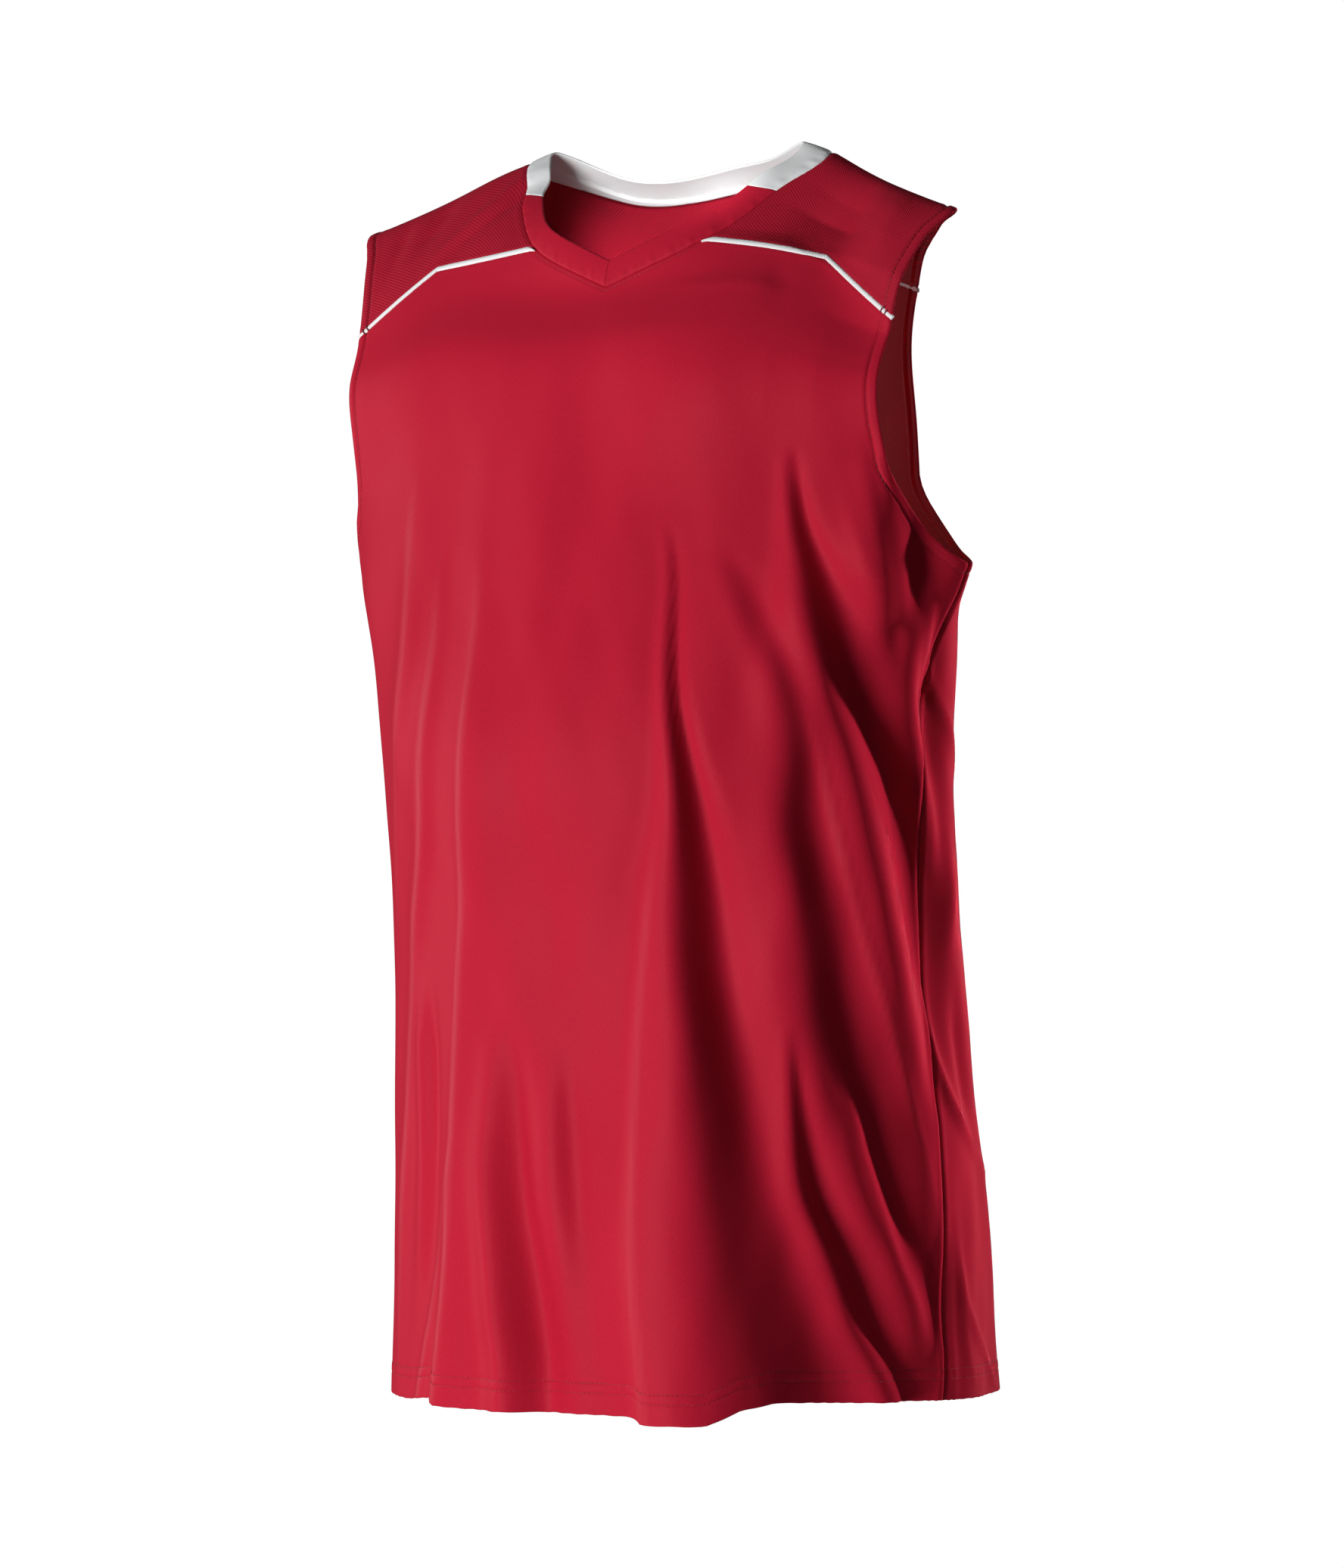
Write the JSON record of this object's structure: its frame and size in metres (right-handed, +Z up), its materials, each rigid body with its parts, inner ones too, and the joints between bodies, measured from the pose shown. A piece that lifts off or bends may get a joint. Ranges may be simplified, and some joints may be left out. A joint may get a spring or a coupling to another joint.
{
  "type": "basketball jersey",
  "caption": "Sleeveless V-neck basketball jersey, hollow in its worn shape, with a yoke over the shoulders, contrast piping and a folded neck band.",
  "frame": {"origin": "middle of the neck on the line between the two neck points, where the wearer's shoulders carry the garment", "axes": "+X towards the wearer's left, -Y out of the front, +Z up towards the wearer's head"},
  "size_m": [0.4458, 0.3261, 0.7809],
  "materials": {
    "red_satin_knit": "smooth satin polyester knit with a soft sheen",
    "red_mesh_knit": "fine eyelet mesh knit, a little duller than the front",
    "red_rib_mesh": "open mesh knit with fine slanting ribs",
    "white_knit": "white knit binding with a faint rib"
  },
  "bodies": {
    "root": {"front_panel": "red_satin_knit", "back_panel": "red_mesh_knit", "yoke": "red_rib_mesh", "piping_front_left": "white_knit", "piping_front_right": "white_knit", "piping_back": "white_knit", "collar_front_left": "red_satin_knit", "collar_front_right": "red_satin_knit", "collar_back": "white_knit"}
  },
  "joints": []
}
